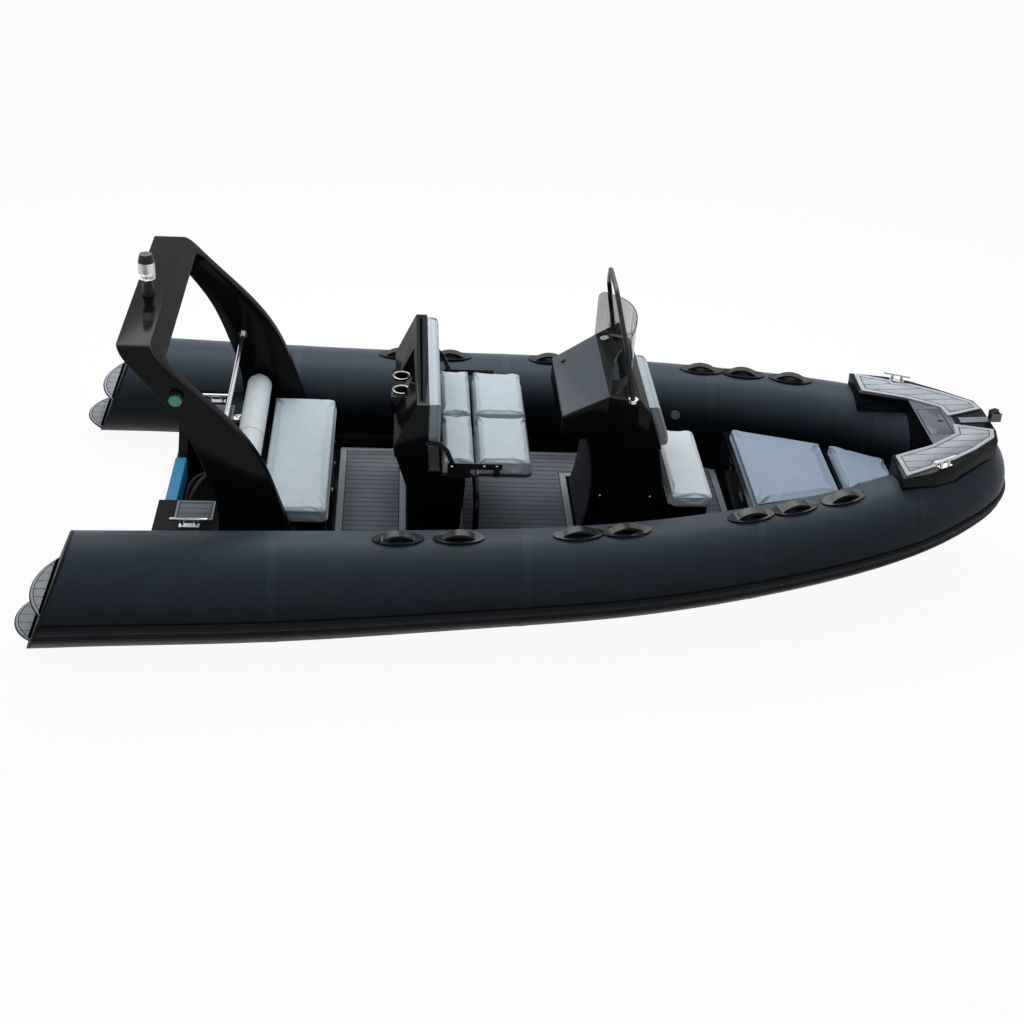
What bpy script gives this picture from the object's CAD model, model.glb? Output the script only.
"""Looks of a rigid inflatable boat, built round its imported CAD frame.

Every piece is in metres, in the frame of the CAD: X to the bow, Y to port, Z up, and the waterline at Z 0.
"""

from __future__ import annotations

import logging
import math
from dataclasses import dataclass, field
from enum import Enum
from typing import Any, Callable, ClassVar, Iterable, Sequence

import bmesh
import bpy
from mathutils import Matrix, Vector
from mathutils.bvhtree import BVHTree


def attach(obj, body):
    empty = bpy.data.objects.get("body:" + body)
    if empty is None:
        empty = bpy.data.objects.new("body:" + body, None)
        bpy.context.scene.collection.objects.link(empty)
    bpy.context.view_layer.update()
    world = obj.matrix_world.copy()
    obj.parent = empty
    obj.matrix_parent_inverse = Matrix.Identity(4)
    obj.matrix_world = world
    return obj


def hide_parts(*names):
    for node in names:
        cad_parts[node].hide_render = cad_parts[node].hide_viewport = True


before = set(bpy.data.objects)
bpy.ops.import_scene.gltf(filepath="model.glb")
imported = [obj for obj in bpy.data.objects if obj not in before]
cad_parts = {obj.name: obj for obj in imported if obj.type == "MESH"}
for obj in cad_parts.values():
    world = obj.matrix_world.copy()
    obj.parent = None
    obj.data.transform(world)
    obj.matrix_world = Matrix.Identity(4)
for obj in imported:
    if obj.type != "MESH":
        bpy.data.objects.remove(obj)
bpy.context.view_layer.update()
LOG = logging.getLogger("boat")

Socket = bpy.types.NodeSocket
Tree = bpy.types.NodeTree
Mesh = bpy.types.Mesh
Piece = bpy.types.Object
Shape = bmesh.types.BMesh
Face = bmesh.types.BMFace
Point = tuple[float, float, float]

MM = 0.001
WELD = 0.02 * MM
CUT_SLACK = 1e-6
# Blender's wave texture repeats every 2 pi / 20 at scale 1
WAVE_FACTOR = 20
# The body that carries all that doesn't move on a joint
BOAT = "boat"
# Cosine past which a face counts as looking squarely in a direction
SQUARELY = 0.9
# Faces that meet at less than this are joined
FLAT_DEGREES = 0.4
# Past this an edge of a plain shape stays sharp, and one of a rounded shape
PLAIN_SHARP = 40.0
ROUNDED_SHARP = 50.0
# Frames in which the cushions swell
SWELLING_FRAMES = 20
# Points between two of a smooth route's own, and the order of its curve
ROUTE_STEPS = 20
ROUTE_ORDER = 3
# The middle of a noise's values
NOISE_CORE = (0.3, 0.7)
WHITE = (1.0, 1.0, 1.0, 1.0)


def linear(code: str) -> tuple[float, float, float, float]:
    """Turns an sRGB hex colour into linear light.

    Args:
        code: The colour as #rrggbb.

    Returns:
        Red, green, blue and an alpha of one.
    """
    shares = [int(code[start:start + 2], 16) / 255 for start in (1, 3, 5)]
    red, green, blue = (s / 12.92 if s <= 0.04045 else ((s + 0.055) / 1.055) ** 2.4 for s in shares)
    return (red, green, blue, 1.0)


def per_metre(millimetres: float) -> float:
    """Gives the scale of a noise or cell texture whose features are that far apart."""
    return 1.0 / (millimetres * MM)


def bands(millimetres: float) -> float:
    """Gives the scale of a wave texture whose bands repeat at that distance."""
    return 2 * math.pi / (WAVE_FACTOR * millimetres * MM)


def feed(tree: Tree, node: bpy.types.Node, inputs: dict[Any, Any]) -> None:
    """Sets a node's inputs: a socket is linked, and any other value is set on the input itself."""
    for key, value in inputs.items():
        if isinstance(value, Socket):
            tree.links.new(value, node.inputs[key])
        else:
            node.inputs[key].default_value = value


def add_node(tree: Tree, kind: str, inputs: dict[Any, Any] | None = None,
             **settings: Any) -> bpy.types.Node:
    """Adds a node with its settings, its input values and its links.

    Args:
        tree: The node tree that gets the node.
        kind: Blender's name for the kind of node.
        inputs: Values or output sockets, by input name or index.
        **settings: Properties of the node.

    Returns:
        The new node.
    """
    node = tree.nodes.new(kind)
    for name, value in settings.items():
        setattr(node, name, value)
    feed(tree, node, inputs or {})
    return node


def emptied(owner: bpy.types.Material | bpy.types.World) -> Tree:
    """Gives the node tree of a material or world, without any node."""
    owner.use_nodes = True
    owner.node_tree.nodes.clear()
    return owner.node_tree


# Finishes

@dataclass
class Brush:
    """Adds the patterns of one material, at the piece's own coordinates."""

    tree: Tree
    place: Socket
    shader: bpy.types.Node

    def noise(self, spacing_mm: float, detail: float = 2.0, roughness: float = 0.5, distortion: float = 0.0,
              place: Socket | None = None) -> Socket:
        """Gives a noise whose features are that far apart."""
        return add_node(self.tree, "ShaderNodeTexNoise", {
            "Vector": place or self.place, "Scale": per_metre(spacing_mm), "Detail": detail,
            "Roughness": roughness, "Distortion": distortion}).outputs[0]

    def waves(self, spacing_mm: float, direction: str, distortion: float = 0.0,
              place: Socket | None = None) -> Socket:
        """Gives bands that repeat at that distance along an axis."""
        return add_node(self.tree, "ShaderNodeTexWave", {
            "Vector": place or self.place, "Scale": bands(spacing_mm), "Distortion": distortion},
            bands_direction=direction).outputs["Fac"]

    def mapped(self, **change: Sequence[float]) -> Socket:
        """Gives the coordinates with a Scale or a Rotation."""
        return add_node(self.tree, "ShaderNodeMapping", {"Vector": self.place, **change}).outputs[0]

    def fit(self, value: Socket, source: tuple[float, float], target: tuple[float, float],
            curve: str = "LINEAR") -> Socket:
        """Maps one range of a value to another and holds it there."""
        return add_node(self.tree, "ShaderNodeMapRange", dict(enumerate((value, *source, *target))),
                        interpolation_type=curve).outputs[0]

    def maths(self, operation: str, first: Socket, second: Socket | float = 0.5, clamp: bool = False) -> Socket:
        """Combines two values."""
        return add_node(self.tree, "ShaderNodeMath", {0: first, 1: second}, operation=operation,
                        use_clamp=clamp).outputs[0]

    def blend(self, share: Socket | float, first: Socket | str, second: Socket | str, mode: str = "MIX") -> Socket:
        """Blends two colours, each a hex code or a socket."""
        first, second = (linear(end) if isinstance(end, str) else end for end in (first, second))
        return add_node(self.tree, "ShaderNodeMix", {0: share, 6: first, 7: second}, data_type="RGBA",
                        blend_type=mode).outputs[2]

    def bump(self, height: Socket, depth_mm: float, strength: float = 1.0, under: Socket | None = None) -> Socket:
        """Raises the surface by a pattern, over another one if there is one under it."""
        return add_node(self.tree, "ShaderNodeBump", {
            "Strength": strength, "Distance": depth_mm * MM, "Height": height,
            **({"Normal": under} if under else {})}).outputs[0]

    def give(self, inputs: dict[str, Any]) -> None:
        """Sets the shader's inputs."""
        feed(self.tree, self.shader, inputs)


@dataclass(frozen=True)
class Finish:
    """A surface finish: its name, the record's slot it stands for, its colour and its gloss."""

    name: str
    slot: str
    colour: str
    roughness: float = 0.5
    made: ClassVar[dict[str, bpy.types.Material]] = {}

    def material(self) -> bpy.types.Material:
        """Gives the finish as a Blender material, made the first time.

        Returns:
            The material.
        """
        if self.name not in Finish.made:
            material = bpy.data.materials.new(self.name)
            tree = emptied(material)
            place = add_node(tree, "ShaderNodeTexCoord").outputs["Object"]
            shader = add_node(tree, "ShaderNodeBsdfPrincipled",
                              {"Base Color": linear(self.colour), "Roughness": self.roughness})
            add_node(tree, "ShaderNodeOutputMaterial", {"Surface": shader.outputs[0]})
            self.paint(Brush(tree, place, shader))
            Finish.made[self.name] = material
        return Finish.made[self.name]

    def paint(self, brush: Brush) -> None:
        """Adds the pattern, the bump and the gloss of the finish. A finish without them leaves this out."""

    def gloss(self, brush: Brush, pattern: Socket, source: tuple[float, float], smoother: float,
              rougher: float) -> Socket:
        """Spreads the roughness round its middle value by a pattern."""
        return brush.fit(pattern, source, (self.roughness - smoother, self.roughness + rougher))


@dataclass(frozen=True)
class Moulding(Finish):
    """A moulded or laid-up surface: a clouded colour, a fine grain and an uneven gloss."""

    cloud: str = "#000000"
    cloud_mm: float = 180.0
    grain_mm: float = 3.0
    grain_depth_mm: float = 0.05
    gloss_spread: float = 0.05
    coat: float = 0.0
    coat_roughness: float = 0.08
    specular: float = 0.5

    def paint(self, brush: Brush) -> None:
        """Clouds the colour and the gloss, and raises the grain."""
        clouds = brush.noise(self.cloud_mm, detail=4.0, roughness=0.6)
        grain = brush.noise(self.grain_mm, detail=3.0)
        brush.give({"Coat Weight": self.coat, "Coat Roughness": self.coat_roughness,
                    "Specular IOR Level": self.specular,
                    "Base Color": brush.blend(clouds, self.colour, self.cloud),
                    "Roughness": self.gloss(brush, clouds, NOISE_CORE, self.gloss_spread, self.gloss_spread),
                    "Normal": brush.bump(grain, self.grain_depth_mm)})


@dataclass(frozen=True)
class CoatedFabric(Finish):
    """Polyester fabric coated with synthetic rubber: a faint weave under a satin skin, paler with dust on top."""

    dust: str = "#3a444e"
    patch_mm: float = 130.0
    thread_mm: float = 3.0
    thread_depth_mm: float = 0.12
    sag_mm: float = 240.0
    sag_depth_mm: float = 1.6
    specular: float = 0.06
    sheen: float = 0.14
    sheen_tint: str = "#c9d6e2"

    def paint(self, brush: Brush) -> None:
        """Weaves the threads, lets dust settle on what looks up, and adds a soft unevenness to the skin."""
        patches = brush.noise(self.patch_mm, detail=6.0, roughness=0.62)
        normal = add_node(brush.tree, "ShaderNodeNewGeometry").outputs["Normal"]
        upward = add_node(brush.tree, "ShaderNodeSeparateXYZ", {0: normal}).outputs[2]
        dusty = brush.maths("ADD", brush.fit(patches, (0.4, 0.8), (-0.06, 0.12)),
                            brush.fit(upward, (-0.2, 1.0), (0.0, 1.0), "SMOOTHSTEP"), clamp=True)
        warp = brush.waves(self.thread_mm, "X", 0.3)
        weft = brush.waves(self.thread_mm, "Z", 0.3, brush.mapped(Rotation=(math.radians(45), 0.0, 0.0)))
        sag = brush.bump(brush.noise(self.sag_mm, detail=1.0), self.sag_depth_mm)
        brush.give({"Specular IOR Level": self.specular, "Sheen Weight": self.sheen, "Sheen Roughness": 0.5,
                    "Sheen Tint": linear(self.sheen_tint),
                    "Base Color": brush.blend(dusty, self.colour, self.dust),
                    "Roughness": self.gloss(brush, patches, (0.3, 0.75), 0.05, 0.08),
                    "Normal": brush.bump(brush.maths("MULTIPLY", warp, weft), self.thread_depth_mm, 0.7, sag)})


@dataclass(frozen=True)
class Vinyl(Finish):
    """Marine upholstery vinyl: an embossed leather grain, soft creases and an even satin gloss."""

    shade: str = "#8d9aa3"
    grain_mm: float = 2.4
    grain_depth_mm: float = 0.16
    crease_mm: float = 70.0
    crease_depth_mm: float = 0.7
    specular: float = 0.3

    def paint(self, brush: Brush) -> None:
        """Embosses the grain, and shades the creases a little darker."""
        creases = brush.noise(self.crease_mm, detail=3.0, distortion=0.4)
        cells = add_node(brush.tree, "ShaderNodeTexVoronoi",
                         {"Vector": brush.place, "Scale": per_metre(self.grain_mm)},
                         feature="DISTANCE_TO_EDGE").outputs[0]
        low = brush.bump(creases, self.crease_depth_mm)
        brush.give({"Specular IOR Level": self.specular,
                    "Base Color": brush.blend(brush.fit(creases, (0.35, 0.75), (0.0, 0.28)), self.colour, self.shade),
                    "Normal": brush.bump(cells, self.grain_depth_mm, 0.6, low)})


@dataclass(frozen=True)
class RoutedFoam(Finish):
    """Closed-cell deck foam: brushed along the boat, with routed plank lines that show a darker layer."""

    line: str = "#15181a"
    plank_mm: float = 46.0
    line_mm: float = 6.0
    line_depth_mm: float = 2.0
    brush_mm: float = 2.2
    brush_depth_mm: float = 0.3
    wear_mm: float = 210.0

    def paint(self, brush: Brush) -> None:
        """Brushes the top and routes the lines."""
        brushed = brush.noise(self.brush_mm, place=brush.mapped(Scale=(0.04, 1.0, 1.0)))
        tone = brush.maths("MULTIPLY", brushed, brush.noise(self.wear_mm, detail=5.0))
        toned = brush.blend(1.0, self.colour, brush.fit(tone, (0.1, 0.42), (0.8, 1.2)), "MULTIPLY")
        across = add_node(brush.tree, "ShaderNodeSeparateXYZ", {0: brush.place}).outputs[1]
        cycle = brush.maths("FRACT", brush.maths("MULTIPLY", across, per_metre(self.plank_mm)))
        distance = brush.maths("ABSOLUTE", brush.maths("SUBTRACT", cycle, 0.5))
        half = self.line_mm / self.plank_mm / 2
        routed = brush.fit(distance, (half * 0.7, half * 1.2), (1.0, 0.0))
        low = brush.bump(brush.maths("MULTIPLY", routed, -1.0), self.line_depth_mm)
        brush.give({"Base Color": brush.blend(routed, toned, self.line),
                    "Normal": brush.bump(brushed, self.brush_depth_mm, 0.8, low)})


@dataclass(frozen=True)
class Metal(Finish):
    """Polished or brushed metal: fine drawn streaks and an uneven polish."""

    streak_mm: float = 1.5
    streak_depth_mm: float = 0.02
    cloud_mm: float = 25.0

    def paint(self, brush: Brush) -> None:
        """Draws the streaks and clouds the polish."""
        clouds = brush.noise(self.cloud_mm, detail=4.0)
        streaks = brush.noise(self.streak_mm, place=brush.mapped(Scale=(0.05, 1.0, 1.0)))
        brush.give({"Metallic": 1.0,
                    "Roughness": brush.fit(clouds, NOISE_CORE, (self.roughness * 0.7, self.roughness * 1.4)),
                    "Normal": brush.bump(streaks, self.streak_depth_mm, 0.5)})


@dataclass(frozen=True)
class ClearPlastic(Finish):
    """Cast or moulded clear plastic: tinted all through, with flutes where a lens has them."""

    ior: float = 1.49
    transmission: float = 1.0
    flute_mm: float = 0.0
    flute_depth_mm: float = 0.6
    glow: float = 0.0
    wipe_mm: float = 45.0

    def paint(self, brush: Brush) -> None:
        """Lets light through, flutes a lens and leaves faint wiping marks on a sheet."""
        marks = brush.noise(self.wipe_mm, detail=5.0)
        brush.give({"IOR": self.ior, "Transmission Weight": self.transmission,
                    "Roughness": self.gloss(brush, marks, (0.4, 0.8), 0.0, 0.05)})
        if self.glow:
            brush.give({"Emission Color": linear(self.colour), "Emission Strength": self.glow})
        if self.flute_mm:
            brush.give({"Normal": brush.bump(brush.waves(self.flute_mm, "Z"), self.flute_depth_mm)})


# Charcoal boat fabric, a rubber skin on polyester: matt, with a broad soft highlight along the crown
TUBE_FABRIC = CoatedFabric("coated_tube_fabric", "tube_fabric", "#14191d", 0.4)
# The same fabric doubled as a seam tape: a little smoother and paler
TAPE_FABRIC = CoatedFabric("seam_tape_fabric", "tube_fabric", "#171c21", 0.38, dust="#3f4953")
# Extruded and moulded rubber: dull black with a fine sandy skin
RUBBER = Moulding("moulded_rubber", "moulded_rubber", "#121518", 0.5, "#1a1e22", 90, 1.6, 0.12, specular=0.08)
# Rubber of the handles' grips: the same, worn smooth on top
GRIP_RUBBER = Moulding("grip_rubber", "moulded_rubber", "#0f1114", 0.3, "#15181b", 40, 1.6, 0.08, specular=0.25)
# Slate face of the dash: the gelcoat with a satin skin
DASH_GELCOAT = Moulding("satin_dash_gelcoat", "gelcoat", "#3c444e", 0.36, "#363e48", 140, 9.0,
                        coat=0.2, coat_roughness=0.2, specular=0.05)
# Black polyester gelcoat out of a polished mould: a weak clear gloss with a faint orange peel
BLACK_GELCOAT = Moulding("black_gelcoat", "gelcoat", "#0a0c0f", 0.3, "#0e1114", 260, 9.0,
                         coat=0.22, coat_roughness=0.14, specular=0.0)
# Grey gelcoat on the anchor locker's lid and round it: the same surface in slate grey
GREY_GELCOAT = Moulding("grey_gelcoat", "gelcoat_grey", "#545c68", 0.4, "#4b5360", 120, 9.0, gloss_spread=0.04,
                        coat=0.3, coat_roughness=0.2, specular=0.1)
# Injection-moulded black plastic: satin, with a spark-eroded grain
BLACK_PLASTIC = Moulding("black_plastic", "plastic_black", "#131416", 0.42, "#1a1b1e", 60, 1.4, 0.1, specular=0.3)
# Sprayed flock of the console's inside: dull and dark
FLOCK_LINING = Moulding("dark_lining", "lining_dark", "#26282d", 0.85, "#3a3c42", 7, 2.0, 0.3, specular=0.1)
# Grey nylon of the inflation valves: satin, with a fine grain
GREY_NYLON = Moulding("grey_nylon", "plastic_black", "#7c858a", 0.45, "#737b80", 30, 1.2, 0.08)
# Bright blue polyethylene of the transom pad: waxy satin
BLUE_PLASTIC = Moulding("blue_polyethylene", "plastic_blue", "#2389b4", 0.4, "#1f7ea8", 60, 2.0, 0.08, specular=0.2)
# Powder-coated tube: black, with a low sheen and a fine orange peel
POWDER_COAT = Moulding("black_powder_coat", "powder_coat", "#0e0f11", 0.34, "#141518", 70, 2.2, 0.06, specular=0.25)
# Marine vinyl over foam, silver grey: satin, with a leather emboss
GREY_VINYL = Vinyl("silver_grey_vinyl", "vinyl_grey", "#a9b5bd", 0.48)
# The same vinyl in the bow, a shade bluer
BOW_VINYL = Vinyl("blue_grey_vinyl", "vinyl_grey", "#8292a4", 0.48, "#708194")
# The same vinyl on the bolster and the front seat, newer and paler
PALE_VINYL = Vinyl("pale_grey_vinyl", "vinyl_grey", "#c2cbd0", 0.46, "#a9b4ba")
# Welt of the same vinyl wrapped on a cord: a little darker where it is stretched
VINYL_WELT = Vinyl("vinyl_welt", "vinyl_grey", "#98a5ae", 0.45)
# Deck foam, brushed grey over a black layer that shows in the routed lines
DECK_FOAM = RoutedFoam("brushed_deck_foam", "deck_foam", "#515a64", 0.78)
# Paler foam of the bow step and of the stern treads, with wider planks
STEP_FOAM = RoutedFoam("pale_step_foam", "deck_foam", "#a3a9b1", 0.75, "#4a4f56", 64.0, 5.0)
# Border bands of the foam pads: smooth and a little paler
BORDER_FOAM = Moulding("foam_border", "deck_foam", "#7a828a", 0.74, "#6f777f", 80, 2.0, 0.15)
PALE_BORDER_FOAM = Moulding("pale_foam_border", "deck_foam", "#b1b6bd", 0.72, "#a6acb3", 80, 2.0, 0.15)
# Black layer of the foam in the routed outline
LINE_FOAM = Moulding("routed_line_foam", "deck_foam", "#1b1e21", 0.85, "#222528", 40, 1.5, 0.2)
# Brushed plate of the bow roller: grey and dull
BRUSHED_PLATE = Metal("brushed_plate", "stainless", "#5c6168", 0.45, 2.0, 0.04)
# Polished stainless steel: mirror with fine buffing lines
STEEL = Metal("polished_stainless", "stainless", "#c9cccf", 0.16)
# Smoked cast acrylic, about 5 mm thick: grey right through
SMOKED_ACRYLIC = ClearPlastic("smoked_acrylic", "acrylic_smoked", "#a3a5a1", 0.03)
# Clear fluted polycarbonate of the all-round light
CLEAR_LENS = ClearPlastic("clear_fluted_lens", "lens_clear", "#f2f5f7", 0.04, 1.58, 0.85, 6.0, 0.9)
# Green and red polycarbonate of the side lights: tinted deep, with some light in the body of the lens
GREEN_LENS = ClearPlastic("green_lens", "lens_green", "#3fae93", 0.08, 1.58, 0.5, 5.0, 0.5, 0.12)
RED_LENS = ClearPlastic("red_lens", "lens_red", "#b3262b", 0.08, 1.58, 0.5, 5.0, 0.5, 0.1)


# Objects and meshes

def placed(name: str, data: bpy.types.ID) -> Piece:
    """Puts an object with that data in the scene, and names both."""
    data.name = name
    piece = bpy.data.objects.new(name, data)
    bpy.context.scene.collection.objects.link(piece)
    return piece


def evaluated(holder: Piece) -> Mesh:
    """Gives the mesh of an object with its modifiers applied, and removes the object."""
    mesh = bpy.data.meshes.new_from_object(holder.evaluated_get(bpy.context.evaluated_depsgraph_get()))
    bpy.data.objects.remove(holder)
    return mesh


def shown(name: str, mesh: Mesh, finishes: Sequence[Finish], body: str = BOAT,
          replaced: Sequence[str] = ()) -> Piece:
    """Makes an object of a mesh, gives it its finishes and lets it ride on a body.

    Args:
        name: The piece's plain name.
        mesh: The mesh, with its place in it.
        finishes: The finishes, in the order of the mesh's material indexes.
        body: The CAD body that the piece moves with.
        replaced: The CAD nodes that the piece stands for.

    Returns:
        The object.
    """
    for finish in finishes:
        mesh.materials.append(finish.material())
    piece = placed(name, mesh)
    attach(piece, body)
    if replaced:
        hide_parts(*replaced)
    LOG.info("%s: %d faces on %s", name, len(mesh.polygons), body)
    return piece


def as_mesh(shape: Shape, sharp_degrees: float = PLAIN_SHARP) -> Mesh:
    """Turns a bmesh into a mesh that is smooth except at its sharp edges.

    Args:
        shape: The bmesh, which is freed.
        sharp_degrees: The angle past which an edge stays sharp.

    Returns:
        The mesh.
    """
    mesh = bpy.data.meshes.new("shape")
    shape.to_mesh(mesh)
    shape.free()
    mesh.shade_smooth()
    mesh.set_sharp_from_angle(angle=math.radians(sharp_degrees))
    return mesh


def merged(node: str) -> Shape:
    """Copies a CAD node's mesh with its doubled corners merged and its flat faces joined.

    Args:
        node: The CAD node.

    Returns:
        The copy.
    """
    shape = bmesh.new()
    shape.from_mesh(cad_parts[node].data)
    bmesh.ops.remove_doubles(shape, verts=shape.verts, dist=WELD)
    bmesh.ops.dissolve_limit(shape, angle_limit=math.radians(FLAT_DEGREES), verts=shape.verts, edges=shape.edges)
    return shape


def solids_of(node: str) -> list[Mesh]:
    """Gives each solid of a CAD node as a mesh of its own.

    Args:
        node: The CAD node.

    Returns:
        The meshes.
    """
    whole = merged(node)
    whole.verts.index_update()
    left = dict.fromkeys(whole.verts)
    meshes = []
    while left:
        group, rim = set(), [left.popitem()[0]]
        while rim:
            vert = rim.pop()
            group.add(vert.index)
            for edge in vert.link_edges:
                other = edge.other_vert(vert)
                if other in left:
                    del left[other]
                    rim.append(other)
        part = whole.copy()
        part.verts.ensure_lookup_table()
        bmesh.ops.delete(part, geom=[v for v in part.verts if v.index not in group], context="VERTS")
        meshes.append(as_mesh(part))
    whole.free()
    return meshes


def dress(finish: Finish, *nodes: str) -> None:
    """Gives CAD nodes that keep their shape a finish.

    Args:
        finish: The finish.
        *nodes: The CAD nodes.
    """
    for node in nodes:
        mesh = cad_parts[node].data
        for index in range(len(mesh.materials)):
            mesh.materials[index] = finish.material()
        LOG.info("%s: CAD shape in %s", node, finish.name)


def cut(shape: Shape, at: Sequence[float], normal: Sequence[float], **clear: bool) -> list[Any]:
    """Cuts a shape along a plane and gives what lies on the cut.

    Args:
        shape: The shape, which is changed.
        at: A point of the plane.
        normal: The plane's direction.
        **clear: clear_outer or clear_inner, to drop the side ahead of the plane or behind it.

    Returns:
        The corners and edges on the cut.
    """
    parts = [*shape.verts, *shape.edges, *shape.faces]
    return bmesh.ops.bisect_plane(shape, geom=parts, dist=CUT_SLACK, plane_co=at, plane_no=normal,
                                  **clear)["geom_cut"]


def relax(shape: Shape, verts: Iterable[bmesh.types.BMVert]) -> None:
    """Draws corners halfway to the middle of their neighbours."""
    bmesh.ops.smooth_vert(shape, verts=verts, factor=0.5, use_axis_x=True, use_axis_y=True, use_axis_z=True)


def soften(shape: Shape, radius: float, segments: int = 3, over_degrees: float = 35.0) -> None:
    """Rounds the sharp edges of a shape.

    Args:
        shape: The shape, which is changed.
        radius: The rounding's width in metres.
        segments: How many faces the rounding has.
        over_degrees: Edges that turn by more than this are rounded.
    """
    edges = [edge for edge in shape.edges if len(edge.link_faces) == 2
             and edge.calc_face_angle(0.0) > math.radians(over_degrees)]
    bmesh.ops.bevel(shape, geom=edges, offset=radius, offset_type="OFFSET", segments=segments, profile=0.5,
                    affect="EDGES", material=-1, clamp_overlap=True, loop_slide=True)
    bmesh.ops.recalc_face_normals(shape, faces=shape.faces)


def remade(name: str, node: str, finishes: Sequence[Finish], pick: Callable[[Face], int] | None = None,
           body: str = BOAT, radius_mm: float = 0.0, cuts: Iterable[tuple[Point, Point]] = ()) -> None:
    """Replaces a CAD node by the same shape, with rounded edges or in more than one finish.

    Args:
        name: The piece's plain name.
        node: The CAD node.
        finishes: The finishes.
        pick: Gives the number of a face's finish.
        body: The body that it moves with.
        radius_mm: The width of the rounding, if it has one.
        cuts: Planes that part the faces, each a point and a direction.
    """
    shape = merged(node)
    if radius_mm:
        soften(shape, radius_mm * MM)
    for at, normal in cuts:
        cut(shape, at, normal)
    if pick:
        for face in shape.faces:
            face.material_index = pick(face)
    shown(name, as_mesh(shape, ROUNDED_SHARP if radius_mm else PLAIN_SHARP), finishes, body, [node])


def rounded(finish: Finish, radius_mm: float, *nodes: str, body: str = BOAT) -> None:
    """Replaces CAD mouldings by the same mouldings with rounded edges.

    Args:
        finish: Their finish.
        radius_mm: The width of the rounding.
        *nodes: The CAD nodes.
        body: The body that they move with.
    """
    for node in nodes:
        remade(f"{node}_moulding", node, [finish], body=body, radius_mm=radius_mm)


# Profiles to turn: (distance from the axis, height) in millimetres, from the rim to the middle
DOME_HEAD = ((7.0, -0.5), (7.0, 0.6), (6.3, 1.9), (4.6, 3.0), (2.4, 3.6), (1.6, 3.6), (1.4, 2.4), (0.0, 2.4))
FILLER_CAP = ((31.0, -0.5), (31.0, 1.2), (29.0, 3.0), (25.5, 3.6), (24.0, 2.6), (22.5, 3.4), (12.0, 4.4),
              (6.0, 4.5), (5.0, 3.4), (0.0, 3.4))


def turned_heads(profile: Sequence[tuple[float, float]],
                 places: Iterable[tuple[Sequence[float], Sequence[float]]], steps: int = 20) -> Mesh:
    """Turns a profile about its axis and stands copies of it on surfaces.

    Args:
        profile: The profile's points, as above.
        places: For each copy its foot in millimetres and the direction in which it stands.
        steps: How many faces go round.

    Returns:
        The mesh.
    """
    whole = bmesh.new()
    for at, direction in places:
        corners = [whole.verts.new((reach * MM, 0, height * MM)) for reach, height in profile]
        line = [whole.edges.new(pair) for pair in zip(corners, corners[1:])]
        bmesh.ops.spin(whole, geom=corners + line, axis=(0, 0, 1), cent=(0, 0, 0), steps=steps,
                       angle=2 * math.pi, use_merge=True)
        fresh = [vert for vert in whole.verts if not vert.tag]
        bmesh.ops.transform(whole, matrix=standing(Vector(at) * MM, Vector(direction)), verts=fresh)
        for vert in fresh:
            vert.tag = True
    bmesh.ops.remove_doubles(whole, verts=whole.verts, dist=WELD)
    bmesh.ops.recalc_face_normals(whole, faces=whole.faces)
    return as_mesh(whole, ROUNDED_SHARP)


def standing(at: Sequence[float], direction: Vector, axis: str = "Z") -> Matrix:
    """Gives the matrix that stands a thing at a point with an axis in a direction."""
    return Matrix.Translation(Vector(at)) @ direction.to_track_quat(axis, "Y").to_matrix().to_4x4()


def circle(centre: Sequence[float], radius_mm: float, sides: int = 40) -> list[Vector]:
    """Gives a level circle's points, from its centre in millimetres."""
    return [Vector((centre[0] + radius_mm * math.cos(turn), centre[1] + radius_mm * math.sin(turn),
                    centre[2])) * MM for turn in (2 * math.pi * step / sides for step in range(sides))]


def mesh_of_lines(lines: Iterable[Sequence[Vector]], kind: str = "POLY", closed: bool = False,
                  radius_mm: float = 0.0, sides: int = 2) -> Mesh:
    """Lays lines through points, or round cords along them.

    Args:
        lines: The lines of points.
        kind: POLY for straight runs between the points, or NURBS for a smooth line led by them.
        closed: Whether each line closes on itself.
        radius_mm: The cords' radius, or 0 for bare lines.
        sides: The roundness of the cords, as a curve's bevel resolution.

    Returns:
        The mesh of all the lines.
    """
    curve = bpy.data.curves.new("line", "CURVE")
    curve.dimensions = "3D"
    curve.resolution_u = ROUTE_STEPS
    curve.bevel_depth = radius_mm * MM
    curve.bevel_resolution = sides
    curve.use_fill_caps = bool(radius_mm) and not closed
    for points in lines:
        spline = curve.splines.new(kind)
        spline.points.add(len(points) - 1)
        for target, point in zip(spline.points, points):
            target.co = (*point, 1.0)
        spline.order_u = ROUTE_ORDER
        spline.use_endpoint_u = not closed
        spline.use_cyclic_u = closed
    mesh = evaluated(placed("line", curve))
    bpy.data.curves.remove(curve)
    mesh.shade_smooth()
    return mesh


def corrugated(line: Sequence[Vector], radius_mm: float, depth_mm: float, sides: int = 16) -> Mesh:
    """Sweeps a ring with ridges along a smooth line.

    Args:
        line: The line's points.
        radius_mm: The outer radius.
        depth_mm: The depth between ridges.
        sides: How many faces go round.

    Returns:
        The mesh.
    """
    shape = bmesh.new()
    rings: list[list[bmesh.types.BMEdge]] = []
    for number, point in enumerate(line):
        ahead = line[min(number + 1, len(line) - 1)] - line[max(number - 1, 0)]
        ring = bmesh.ops.create_circle(shape, segments=sides, radius=(radius_mm - depth_mm * (number % 2)) * MM,
                                       cap_ends=number in (0, len(line) - 1),
                                       matrix=standing(point, ahead))["verts"]
        rings.append([edge for edge in shape.edges if edge.verts[0] in ring and edge.verts[1] in ring])
    for ring, following in zip(rings, rings[1:]):
        bmesh.ops.bridge_loops(shape, edges=ring + following)
    bmesh.ops.recalc_face_normals(shape, faces=shape.faces)
    return as_mesh(shape, sharp_degrees=60.0)


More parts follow.
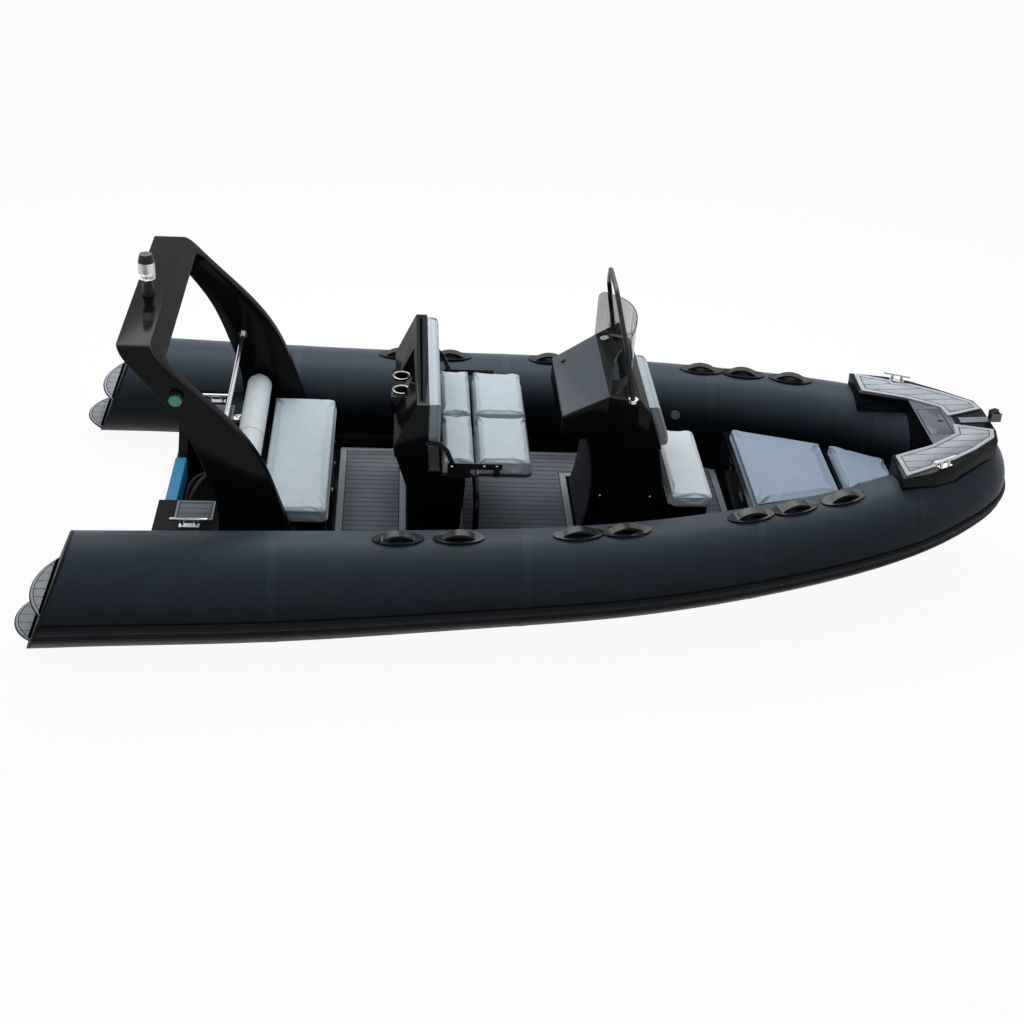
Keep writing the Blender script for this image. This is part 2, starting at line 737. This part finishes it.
def section_loops(mesh: Mesh, point: Vector, normal: Vector, fewest: int = 8) -> list[list[Vector]]:
    """Finds the closed lines in which a plane cuts a mesh.

    Args:
        mesh: The mesh.
        point: A point of the plane.
        normal: The plane's direction.
        fewest: A line of no more points than this is left out.

    Returns:
        The lines, each a list of points.
    """
    shape = bmesh.new()
    shape.from_mesh(mesh)
    parts = cut(shape, point, normal, clear_inner=True, clear_outer=True)
    edges = dict.fromkeys(part for part in parts if isinstance(part, bmesh.types.BMEdge))
    loops: list[list[Vector]] = []
    while edges:
        edge = edges.popitem()[0]
        corner, points = edge.verts[1], [edge.verts[0].co.copy(), edge.verts[1].co.copy()]
        while following := next((e for e in corner.link_edges if e in edges), None):
            del edges[following]
            corner = following.other_vert(corner)
            points.append(corner.co.copy())
        if len(points) > fewest:
            loops.append(points[:-1])
    shape.free()
    return loops


class Facing(Enum):
    """The way in which a cushion's open face looks."""

    UP = (0.0, 0.0, 1.0)
    FORWARD = (1.0, 0.0, 0.0)
    FORWARD_LEANING = (0.928, 0.0, 0.372)

    def direction(self) -> Vector:
        """Gives the direction as a unit vector."""
        return Vector(self.value).normalized()


@dataclass
class Cushion:
    """A foam cushion in vinyl: it swells between its seams and is flat only where it rests."""

    node: str
    body: str = BOAT
    facing: Facing = Facing.UP
    voxel_mm: float = 9.0
    inset_mm: float = 7.0
    cap_mm: float = 11.0
    proud_mm: float = 1.5
    rounding: int = 5
    pressure: float = 4.0
    cloth_steps: int = 4
    seam_drop_mm: float = 15.0
    seam_width_mm: float = 9.0
    seam_depth_mm: float = 2.0
    end_seams: bool = False
    end_seam_mm: float = 12.0
    welt_mm: float = 2.2
    fill: float = 0.8
    vinyl: Vinyl = GREY_VINYL
    swelling: Piece | None = field(default=None, repr=False)
    start: list[Vector] = field(default_factory=list, repr=False)

    def even_shape(self) -> Shape:
        """Gives the node's solids, each divided into even faces.

        Returns:
            The shape.
        """
        shape = bmesh.new()
        for solid in solids_of(self.node):
            block = placed(f"{self.node}_block", solid)
            voxels = block.modifiers.new("Voxels", "REMESH")
            voxels.mode = "VOXEL"
            voxels.voxel_size = self.voxel_mm * MM
            shape.from_mesh(evaluated(block))
        return shape

    def prepare(self) -> None:
        """Makes the even, slightly smaller shape from which the cushion swells, pinned where it rests."""
        facing = self.facing.direction()
        shape = self.even_shape()
        shape.normal_update()
        resting = {vert for vert in shape.verts
                   if any(face.normal.dot(facing) < -SQUARELY for face in vert.link_faces)}
        for vert in shape.verts:
            pull = vert.normal * self.inset_mm * MM
            if vert in resting:
                pull -= facing * pull.dot(facing)
            vert.co -= pull
        free = [vert for vert in shape.verts if vert not in resting]
        for _ in range(self.rounding):
            relax(shape, free)
        shape.verts.index_update()
        pinned = [vert.index for vert in resting]
        even = bpy.data.meshes.new("even")
        shape.to_mesh(even)
        shape.free()
        self.start = [vert.co.copy() for vert in even.vertices]
        self.swelling = placed(f"{self.node}_swelling", even)
        self.swelling.vertex_groups.new(name="resting").add(pinned, 1.0, "REPLACE")

    def inflate(self) -> None:
        """Puts air pressure in the cover, without gravity."""
        cloth = self.swelling.modifiers.new("Swell", "CLOTH")
        cloth.settings.quality = self.cloth_steps
        cloth.settings.use_pressure = True
        cloth.settings.uniform_pressure_force = self.pressure
        cloth.settings.effector_weights.gravity = 0.0
        cloth.settings.vertex_group_mass = "resting"
        cloth.collision_settings.use_collision = False

    def finish(self) -> None:
        """Takes the swollen shape, keeps it in its place, and adds the seams and their welt."""
        swollen = evaluated(self.swelling)
        solid = merged(self.node)
        facing = self.facing.direction()
        reach = max(vert.co.dot(facing) for vert in solid.verts)
        across = max(abs(vert.co.y) for vert in solid.verts)
        self.hold(swollen, BVHTree.FromBMesh(solid))
        solid.free()
        seams = [(facing * (reach - self.seam_drop_mm * MM), facing)]
        if self.end_seams:
            seams = [(Vector((0, share * (across - self.end_seam_mm * MM), 0)), Vector((0, 1, 0)))
                     for share in (1, 0, -1)]
        cover = self.sewn(swollen, seams)
        loops = [loop for point, normal in seams for loop in section_loops(cover, point, normal)]
        shown(f"{self.node}_pad", cover, [self.vinyl], self.body, [self.node])
        if loops:
            shown(f"{self.node}_welt", mesh_of_lines(loops, closed=True, radius_mm=self.welt_mm), [VINYL_WELT],
                  self.body)

    def hold(self, swollen: Mesh, tree: BVHTree) -> None:
        """Limits the swelling's reach, and lets it stand no more than proud_mm out of the CAD solid.

        Args:
            swollen: The swollen mesh, which is changed.
            tree: The CAD solid.
        """
        proud = self.proud_mm * MM
        for vert, begun in zip(swollen.vertices, self.start):
            step = vert.co - begun
            if step.length > self.cap_mm * MM:
                vert.co = begun + step.normalized() * self.cap_mm * MM
            near, normal, _, _ = tree.find_nearest(vert.co)
            if (vert.co - near).dot(normal) > proud:
                vert.co = near + normal * proud

    def sewn(self, swollen: Mesh, seams: Sequence[tuple[Vector, Vector]]) -> Mesh:
        """Divides the cover more finely and draws it in along the seams.

        Args:
            swollen: The swollen mesh.
            seams: The seams' planes, each a point and a direction.

        Returns:
            The cover.
        """
        shape = bmesh.new()
        shape.from_mesh(swollen)
        bmesh.ops.subdivide_edges(shape, edges=shape.edges, cuts=1, use_grid_fill=True, smooth=0.0)
        relax(shape, shape.verts)
        shape.normal_update()
        width = self.seam_width_mm * MM
        for point, normal in seams:
            for vert in shape.verts:
                off = abs((vert.co - point).dot(normal))
                if off < width and abs(vert.normal.dot(self.facing.direction())) < SQUARELY:
                    vert.co -= vert.normal * self.seam_depth_mm * MM * (1 - off / width)
        return as_mesh(shape, sharp_degrees=180.0)


@dataclass
class RoutedPad:
    """A foam pad with a border band, a routed outline and planks inside it. Its areas are in square metres."""

    node: str
    planks: RoutedFoam
    border: Moulding
    border_mm: float
    line_mm: float = 5.0
    depth_mm: float = 1.5
    small_border_mm: float = 10.0
    small_area: float = 0.1
    wall_share: float = 0.3
    floor_share: float = 0.4
    astray_share: float = 1.2

    def build(self) -> None:
        """Insets the tops of the pads, routes their outline and puts stray corners back on the CAD solid."""
        shape = merged(self.node)
        whole = BVHTree.FromBMesh(shape)
        tops = [face for face in shape.faces if face.normal.z > SQUARELY]
        for face in shape.faces:
            face.material_index = 1
        small = [face for face in tops if face.calc_area() < self.small_area]
        large = [face for face in tops if face not in small]
        for faces, border in ((small, min(self.border_mm, self.small_border_mm)), (large, self.border_mm)):
            if faces:
                self.inset(shape, faces, border * MM)
        line, depth = self.line_mm * MM, self.depth_mm * MM
        routed = [face for share, drop in ((self.wall_share, -depth), (self.floor_share, 0.0),
                                           (self.wall_share, depth))
                  for face in self.inset(shape, tops, line * share, drop)]
        for number, faces in ((2, routed), (0, tops)):
            for face in faces:
                face.material_index = number
        for vert in shape.verts:
            near, _, _, distance = whole.find_nearest(vert.co)
            if distance > self.astray_share * depth:
                vert.co = near
        shown(f"{self.node}_foam", as_mesh(shape, sharp_degrees=30.0),
              [self.planks, self.border, LINE_FOAM], BOAT, [self.node])

    @staticmethod
    def inset(shape: Shape, faces: list[Face], thickness: float, drop: float = 0.0) -> list[Face]:
        """Draws faces in, raised or lowered, and gives the faces of the band round them."""
        return bmesh.ops.inset_region(shape, faces=faces, thickness=thickness, depth=drop, use_even_offset=True,
                                      use_boundary=True)["faces"]


# Sub-assemblies

@dataclass
class Hull:
    """The hull, the liner of the cockpit, the pad on the transom and what lies in the engine well."""

    rounding_mm: float = 5.0
    cap_at_mm: Point = (312, 460, 420)
    ridge_mm: float = 1.6
    hoses: tuple[tuple[float, tuple[Point, ...]], ...] = (
        (14.0, ((364, -60, 330), (300, -70, 372), (232, -95, 402), (181, -200, 412), (152, -300, 390),
                (140, -350, 310), (138, -392, 220))),
        (11.0, ((364, -10, 300), (300, -20, 335), (215, -45, 365), (150, -90, 372), (118, -150, 350),
                (104, -230, 290), (108, -310, 225), (112, -390, 200))))

    def build(self) -> None:
        """Dresses the hull, rounds the transom pad, and adds the filler cap and the hoses."""
        dress(BLACK_GELCOAT, "hull", "cockpit_liner")
        rounded(BLUE_PLASTIC, self.rounding_mm, "transom_pad")
        shown("fuel_filler_cap", turned_heads(FILLER_CAP, [(self.cap_at_mm, (0, 0, 1))], steps=40), [STEEL])
        for number, (radius, route) in enumerate(self.hoses, 1):
            led = mesh_of_lines([[Vector(point) * MM for point in route]], "NURBS")
            line = [vert.co.copy() for vert in led.vertices]
            hose = shown(f"rigging_hose_{number}", corrugated(line, radius, self.ridge_mm), [RUBBER])


@dataclass
class Tubes:
    """The two buoyancy tubes with their strake, caps, treads, handles, tapes and valves."""

    rounding_mm: float = 3.0
    patch_reach_mm: float = 7.0
    valve_split_mm: float = 470.0
    tape_width_mm: float = 44.0
    tape_thickness_mm: float = 0.8
    tape_lift_mm: float = 0.25
    tape_places: tuple[float, ...] = (0.62, 1.82, 2.98, 3.86)

    def build(self) -> None:
        """Dresses the CAD pieces and adds the tapes and the treads' foam."""
        dress(TUBE_FABRIC, "tube_port", "tube_starboard")
        dress(RUBBER, "rub_strake")
        skins = [BVHTree.FromBMesh(merged(node)) for node in ("tube_port", "tube_starboard")]

        def is_patch(face: Face) -> int:
            """Tells whether a face lies on a tube, as a handle's patch does."""
            middle = face.calc_center_median()
            return int(min(skin.find_nearest(middle)[3] for skin in skins) < self.patch_reach_mm * MM)

        remade("handle_grips_and_patches", "grab_handles", [GRIP_RUBBER, RUBBER], is_patch)
        remade("tube_valves", "tube_fittings", [BLACK_PLASTIC, GREY_NYLON],
               lambda face: int(face.calc_center_median().z < self.valve_split_mm * MM))
        rounded(RUBBER, self.rounding_mm, "stern_caps")
        RoutedPad("stern_tread_pads", STEP_FOAM, PALE_BORDER_FOAM, border_mm=12.0, line_mm=4.0).build()
        self.add_tapes()

    def add_tapes(self) -> None:
        """Bonds a seam tape round each tube at each panel joint."""
        half = self.tape_width_mm * MM / 2
        for side in ("port", "starboard"):
            for number, place in enumerate(self.tape_places, 1):
                shape = merged(f"tube_{side}")
                for edge, outward in ((place - half, -1), (place + half, 1)):
                    cut(shape, (edge, 0, 0), (outward, 0, 0), clear_outer=True)
                bmesh.ops.triangulate(shape, faces=shape.faces)
                for vert in shape.verts:
                    vert.co += vert.normal * self.tape_lift_mm * MM
                bmesh.ops.solidify(shape, geom=shape.faces, thickness=-self.tape_thickness_mm * MM)
                bmesh.ops.recalc_face_normals(shape, faces=shape.faces)
                shown(f"seam_tape_{side}_{number}", as_mesh(shape), [TAPE_FABRIC])


@dataclass
class LightArch:
    """The arch over the stern with its cross rail and lights."""

    rounding_mm: float = 7.0

    def build(self) -> None:
        """Rounds the arch and dresses the lights."""
        rounded(BLACK_GELCOAT, self.rounding_mm, "arch")
        dress(STEEL, "arch_cross_rail")
        dress(BLACK_PLASTIC, "mast_light_housing", "side_light_housings")
        dress(CLEAR_LENS, "mast_light_lens")
        dress(RED_LENS, "side_light_lens_port")
        dress(GREEN_LENS, "side_light_lens_starboard")


@dataclass
class SternBench:
    """The bench in the stern with its door, cushion and bolster."""

    rounding_mm: float = 6.0
    door_rounding_mm: float = 2.0

    def build(self) -> None:
        """Rounds the bench's mouldings and dresses the latch."""
        rounded(BLACK_GELCOAT, self.rounding_mm, "bench_base")
        rounded(BLACK_GELCOAT, self.door_rounding_mm, "bench_door", body="bench_door")
        dress(STEEL, "bench_door_latch")

    def cushions(self) -> list[Cushion]:
        """Gives the bench's cushions."""
        return [Cushion("bench_cushion", voxel_mm=11.0, rounding=7),
                Cushion("bench_bolster", inset_mm=5.0, end_seams=True, rounding=3, vinyl=PALE_VINYL)]


@dataclass
class HelmSeat:
    """The helm pod, its backrest, the flip-up seat and its bars."""

    rounding_mm: float = 6.0
    board_rounding_mm: float = 2.0
    cup_at_mm: Point = (1212, 77, 914.5)
    rim_radius_mm: float = 43.5
    rim_cord_mm: float = 2.4
    screw_height_mm: float = 723
    screws: tuple[tuple[float, float], ...] = ((1468, 513), (1630, 505), (1693, 505))

    def build(self) -> None:
        """Rounds the pod's mouldings and dresses its metal."""
        rounded(BLACK_GELCOAT, self.rounding_mm, "helm_pod", "backrest_shell")
        rounded(BLACK_PLASTIC, self.board_rounding_mm, "aft_seat_board")
        rounded(BLACK_PLASTIC, self.board_rounding_mm, "flip_seat_board", body="flip_seat")
        dress(BLACK_PLASTIC, "cup_holders")
        x, y, z = self.cup_at_mm
        rims = [circle((x, side * y, z), self.rim_radius_mm) for side in (1, -1)]
        shown("cup_holder_rims", mesh_of_lines(rims, closed=True, radius_mm=self.rim_cord_mm, sides=3), [STEEL])
        dress(POWDER_COAT, "seat_bars", "foot_rail")
        screws = [((x, side * y, self.screw_height_mm), (0, side, 0)) for side in (1, -1) for x, y in self.screws]
        shown("seat_bar_screws", turned_heads(DOME_HEAD, screws), [STEEL])

    def cushions(self) -> list[Cushion]:
        """Gives the helm seat's cushions."""
        return [Cushion("backrest_cushion", facing=Facing.FORWARD, inset_mm=6.0),
                Cushion("aft_seat_cushions", voxel_mm=8.0, inset_mm=6.0),
                Cushion("flip_seat_cushions", "flip_seat", voxel_mm=8.0, inset_mm=6.0)]


@dataclass
class Console:
    """The steering console with its screen, hoop and front pad."""

    rounding_mm: float = 6.0
    dash_aft_share: float = 0.45
    dash_up_share: float = 0.3
    switch_fore_mm: float = 2150.0
    hoop_foot_mm: float = 1088.5
    side_mm: float = 300.0
    seam_mm: float = 300.2
    seam_height_mm: float = 437.0
    seam_stations: tuple[float, ...] = (2232, 2390, 2545)
    seam_cord_mm: float = 1.3
    screw_stations: tuple[float, ...] = (2258, 2523)

    def build(self) -> None:
        """Rounds the console's mouldings and dresses what is on it."""
        rounded(BLACK_GELCOAT, self.rounding_mm, "console_body")
        # The sloping aft face of the head is the dash, in a satin finish
        remade("console_head_moulding", "console_head", [BLACK_GELCOAT, DASH_GELCOAT],
               lambda face: int(face.normal.x < -self.dash_aft_share and face.normal.z > self.dash_up_share),
               radius_mm=self.rounding_mm)
        dress(FLOCK_LINING, "console_lining")
        remade("gauge_and_switch", "dash_gauges", [STEEL, BLACK_PLASTIC],
               lambda face: int(face.calc_center_median().x < self.switch_fore_mm * MM))
        dress(SMOKED_ACRYLIC, "windscreen")
        remade("grab_hoop", "hoop_rail", [POWDER_COAT, STEEL],
               lambda face: int(face.calc_center_median().z < self.hoop_foot_mm * MM))
        seam = [[Vector((x, side * self.seam_mm, self.seam_height_mm)) * MM for x in self.seam_stations]
                for side in (1, -1)]
        shown("console_seam", mesh_of_lines(seam, radius_mm=self.seam_cord_mm), [RUBBER])
        screws = [((x, side * self.side_mm, self.seam_height_mm), (0, side, 0))
                  for side in (1, -1) for x in self.screw_stations]
        shown("console_screws", turned_heads(DOME_HEAD, screws), [STEEL])

    def cushions(self) -> list[Cushion]:
        """Gives the console's front pad."""
        return [Cushion("console_front_pad", facing=Facing.FORWARD_LEANING, inset_mm=6.0)]


@dataclass
class BowSeats:
    """The seat ahead of the console, and the bow locker with its hatch and cushions."""

    rounding_mm: float = 5.0
    lid_rounding_mm: float = 3.0

    def build(self) -> None:
        """Rounds the lockers and dresses the hinges."""
        rounded(BLACK_GELCOAT, self.rounding_mm, "front_seat_base")
        rounded(BLACK_GELCOAT, self.lid_rounding_mm, "front_seat_lid", body="front_seat")
        rounded(BLACK_GELCOAT, self.rounding_mm, "bow_locker")
        rounded(BLACK_GELCOAT, self.lid_rounding_mm, "bow_lid", body="bow_hatch")
        dress(STEEL, "locker_hinge_leaves")

    def cushions(self) -> list[Cushion]:
        """Gives the cushions of the front seat and of the bow."""
        return [Cushion("front_seat_cushion", "front_seat", vinyl=PALE_VINYL),
                Cushion("bow_cushion_aft", "bow_hatch", voxel_mm=10.0, vinyl=BOW_VINYL),
                Cushion("bow_cushion_fore", vinyl=BOW_VINYL)]


@dataclass
class BowStep:
    """The moulded step over the bow with its pads, anchor locker, cleats and roller."""

    rounding_mm: float = 5.0
    lid_rounding_mm: float = 2.0
    slate_mm: Point = (3990.0, 4176.0, 236.0)
    slate_above_mm: float = 700.0

    def build(self) -> None:
        """Rounds the step and dresses its fittings."""
        self.add_moulding()
        rounded(GREY_GELCOAT, self.lid_rounding_mm, "anchor_lid", body="anchor_hatch")
        RoutedPad("bow_step_pads", STEP_FOAM, PALE_BORDER_FOAM, border_mm=22.0).build()
        dress(STEEL, "cleats")
        dress(BRUSHED_PLATE, "bow_roller_bracket")
        dress(RUBBER, "bow_roller")

    def add_moulding(self) -> None:
        """Rounds the moulding and sprays its top slate grey round the anchor locker's lid."""
        aft, fore, half = (value * MM for value in self.slate_mm)

        def is_slate(face: Face) -> int:
            """Tells whether a face is in the slate field."""
            middle = face.calc_center_median()
            return int(face.normal.z > SQUARELY and middle.z > self.slate_above_mm * MM
                       and aft < middle.x < fore and abs(middle.y) < half)

        remade("bow_step_moulding", "bow_step", [BLACK_GELCOAT, GREY_GELCOAT], is_slate, radius_mm=self.rounding_mm,
               cuts=(((aft, 0, 0), (1, 0, 0)), ((fore, 0, 0), (1, 0, 0)), ((0, half, 0), (0, 1, 0)),
                     ((0, -half, 0), (0, 1, 0))))


@dataclass
class Deck:
    """The foam floor of the cockpit and the pads beside the engine well."""

    border_mm: float = 34.0

    def build(self) -> None:
        """Routes the deck's pads."""
        RoutedPad("deck_pads", DECK_FOAM, BORDER_FOAM, self.border_mm, line_mm=6.0).build()


@dataclass
class Studio:
    """The camera, the lamps, the pale floor at the waterline and the white surroundings."""

    camera_at: Point = (1.167, -6.963, 4.643)
    azimuth: float = 5.46
    elevation: float = 32.83
    roll: float = 4.16
    focal_px: float = 1518.0
    picture_px: float = 1024.0
    sensor_mm: float = 36.0
    far: float = 200.0
    floor_half: float = 60.0
    floor_glow: float = 0.94
    floor_cloud_scale: float = 0.4
    sky_light: float = 0.3
    lamps: tuple[tuple[str, Point, Point, tuple[float, float], float], ...] = (
        ("far_softbox", (2.0, 2.2, 4.0), (2.0, -0.2, 0.4), (7.0, 2.4), 255.0),
        ("stern_softbox", (-5.0, -2.5, 5.0), (1.0, 0.0, 0.5), (3.5, 3.5), 50.0))

    def build(self) -> None:
        """Sets the stage."""
        self.add_camera()
        self.add_floor()
        self.add_world()
        for name, at, towards, size, watts in self.lamps:
            self.add_lamp(name, at, towards, size, watts)
        bpy.context.scene.view_settings.view_transform = "Standard"

    def add_camera(self) -> None:
        """Places the camera as the photograph was taken."""
        azimuth, elevation, roll = (math.radians(value) for value in (self.azimuth, self.elevation, self.roll))
        ahead = Vector((math.sin(azimuth) * math.cos(elevation), math.cos(azimuth) * math.cos(elevation),
                        -math.sin(elevation)))
        level = ahead.cross(Vector((0, 0, 1))).normalized()
        upright = level.cross(ahead)
        right = level * math.cos(roll) + upright * math.sin(roll)
        top = upright * math.cos(roll) - level * math.sin(roll)
        data = bpy.data.cameras.new("photo_camera")
        data.sensor_width = self.sensor_mm
        data.lens = self.focal_px * self.sensor_mm / self.picture_px
        data.clip_end = self.far
        camera = placed("photo_camera", data)
        turn = Matrix((right, top, -ahead)).transposed().to_4x4()
        camera.matrix_world = Matrix.Translation(Vector(self.camera_at)) @ turn
        bpy.context.scene.camera = camera

    def add_floor(self) -> None:
        """Lays a pale floor at the waterline, which shows white to the camera and keeps the shadow."""
        shape = bmesh.new()
        bmesh.ops.create_grid(shape, x_segments=1, y_segments=1, size=self.floor_half)
        material = bpy.data.materials.new("pale_studio_floor")
        tree = emptied(material)
        place = add_node(tree, "ShaderNodeTexCoord").outputs["Object"]
        clouds = add_node(tree, "ShaderNodeTexNoise", {"Vector": place, "Scale": self.floor_cloud_scale,
                                                       "Detail": 2.0})
        tone = add_node(tree, "ShaderNodeMix", {0: clouds.outputs[0], 6: linear("#f4f5f6"),
                                                7: linear("#eff0f1")}, data_type="RGBA")
        lit = add_node(tree, "ShaderNodeBsdfDiffuse", {"Color": tone.outputs[2]}).outputs[0]
        white = add_node(tree, "ShaderNodeEmission", {"Color": WHITE, "Strength": 1.0}).outputs[0]
        both = add_node(tree, "ShaderNodeMixShader", {0: self.floor_glow, 1: lit, 2: white}).outputs[0]
        surface = add_node(tree, "ShaderNodeMixShader", {0: self.seen_share(tree), 1: lit, 2: both})
        add_node(tree, "ShaderNodeOutputMaterial", {"Surface": surface.outputs[0]})
        mesh = as_mesh(shape)
        mesh.materials.append(material)
        placed("studio_floor", mesh)

    def seen_share(self, tree: Tree) -> Socket:
        """Gives one for a ray that shows the surroundings: seen, mirrored or seen through glass.

        Args:
            tree: The node tree that gets the nodes.

        Returns:
            The socket with the share.
        """
        path = add_node(tree, "ShaderNodeLightPath").outputs
        share = path["Is Camera Ray"]
        for ray in ("Is Glossy Ray", "Is Transmission Ray"):
            share = add_node(tree, "ShaderNodeMath", {0: share, 1: path[ray]}, operation="MAXIMUM").outputs[0]
        return share

    def add_world(self) -> None:
        """Makes the surroundings white to look at, and a soft grey as a light."""
        world = bpy.data.worlds.new("studio_surroundings")
        tree = emptied(world)
        white = add_node(tree, "ShaderNodeBackground", {"Color": WHITE, "Strength": 1.0})
        soft = add_node(tree, "ShaderNodeBackground", {"Color": linear("#e8edf2"), "Strength": self.sky_light})
        mixed = add_node(tree, "ShaderNodeMixShader", {0: self.seen_share(tree), 1: soft.outputs[0],
                                                       2: white.outputs[0]})
        add_node(tree, "ShaderNodeOutputWorld", {"Surface": mixed.outputs[0]})
        bpy.context.scene.world = world

    def add_lamp(self, name: str, at: Point, towards: Point, size: tuple[float, float], watts: float) -> None:
        """Hangs a softbox.

        Args:
            name: The lamp's name.
            at: Where it hangs.
            towards: The point that it looks at.
            size: Its two sides in metres.
            watts: Its power.
        """
        data = bpy.data.lights.new(name, "AREA")
        data.shape = "RECTANGLE"
        data.size, data.size_y = size
        data.energy = watts
        placed(name, data).matrix_world = standing(at, Vector(towards) - Vector(at), "-Z")


def upholster(cushions: Sequence[Cushion]) -> None:
    """Swells all the cushions at once and finishes each.

    Args:
        cushions: The cushions.
    """
    for cushion in cushions:
        cushion.prepare()
    for cushion in cushions:
        cushion.inflate()
    for moment in range(1, SWELLING_FRAMES + 1):
        bpy.context.scene.frame_set(moment)
    for cushion in cushions:
        cushion.finish()


def main() -> None:
    """Builds the boat's looks in order."""
    logging.basicConfig(level=logging.INFO, format="%(name)s: %(message)s")
    Studio().build()
    bench, helm, console, bow = SternBench(), HelmSeat(), Console(), BowSeats()
    for assembly in (Hull(), Tubes(), LightArch(), bench, helm, console, bow, BowStep(), Deck()):
        assembly.build()
    upholster(bench.cushions() + helm.cushions() + console.cushions() + bow.cushions())


if __name__ == "__main__":
    main()
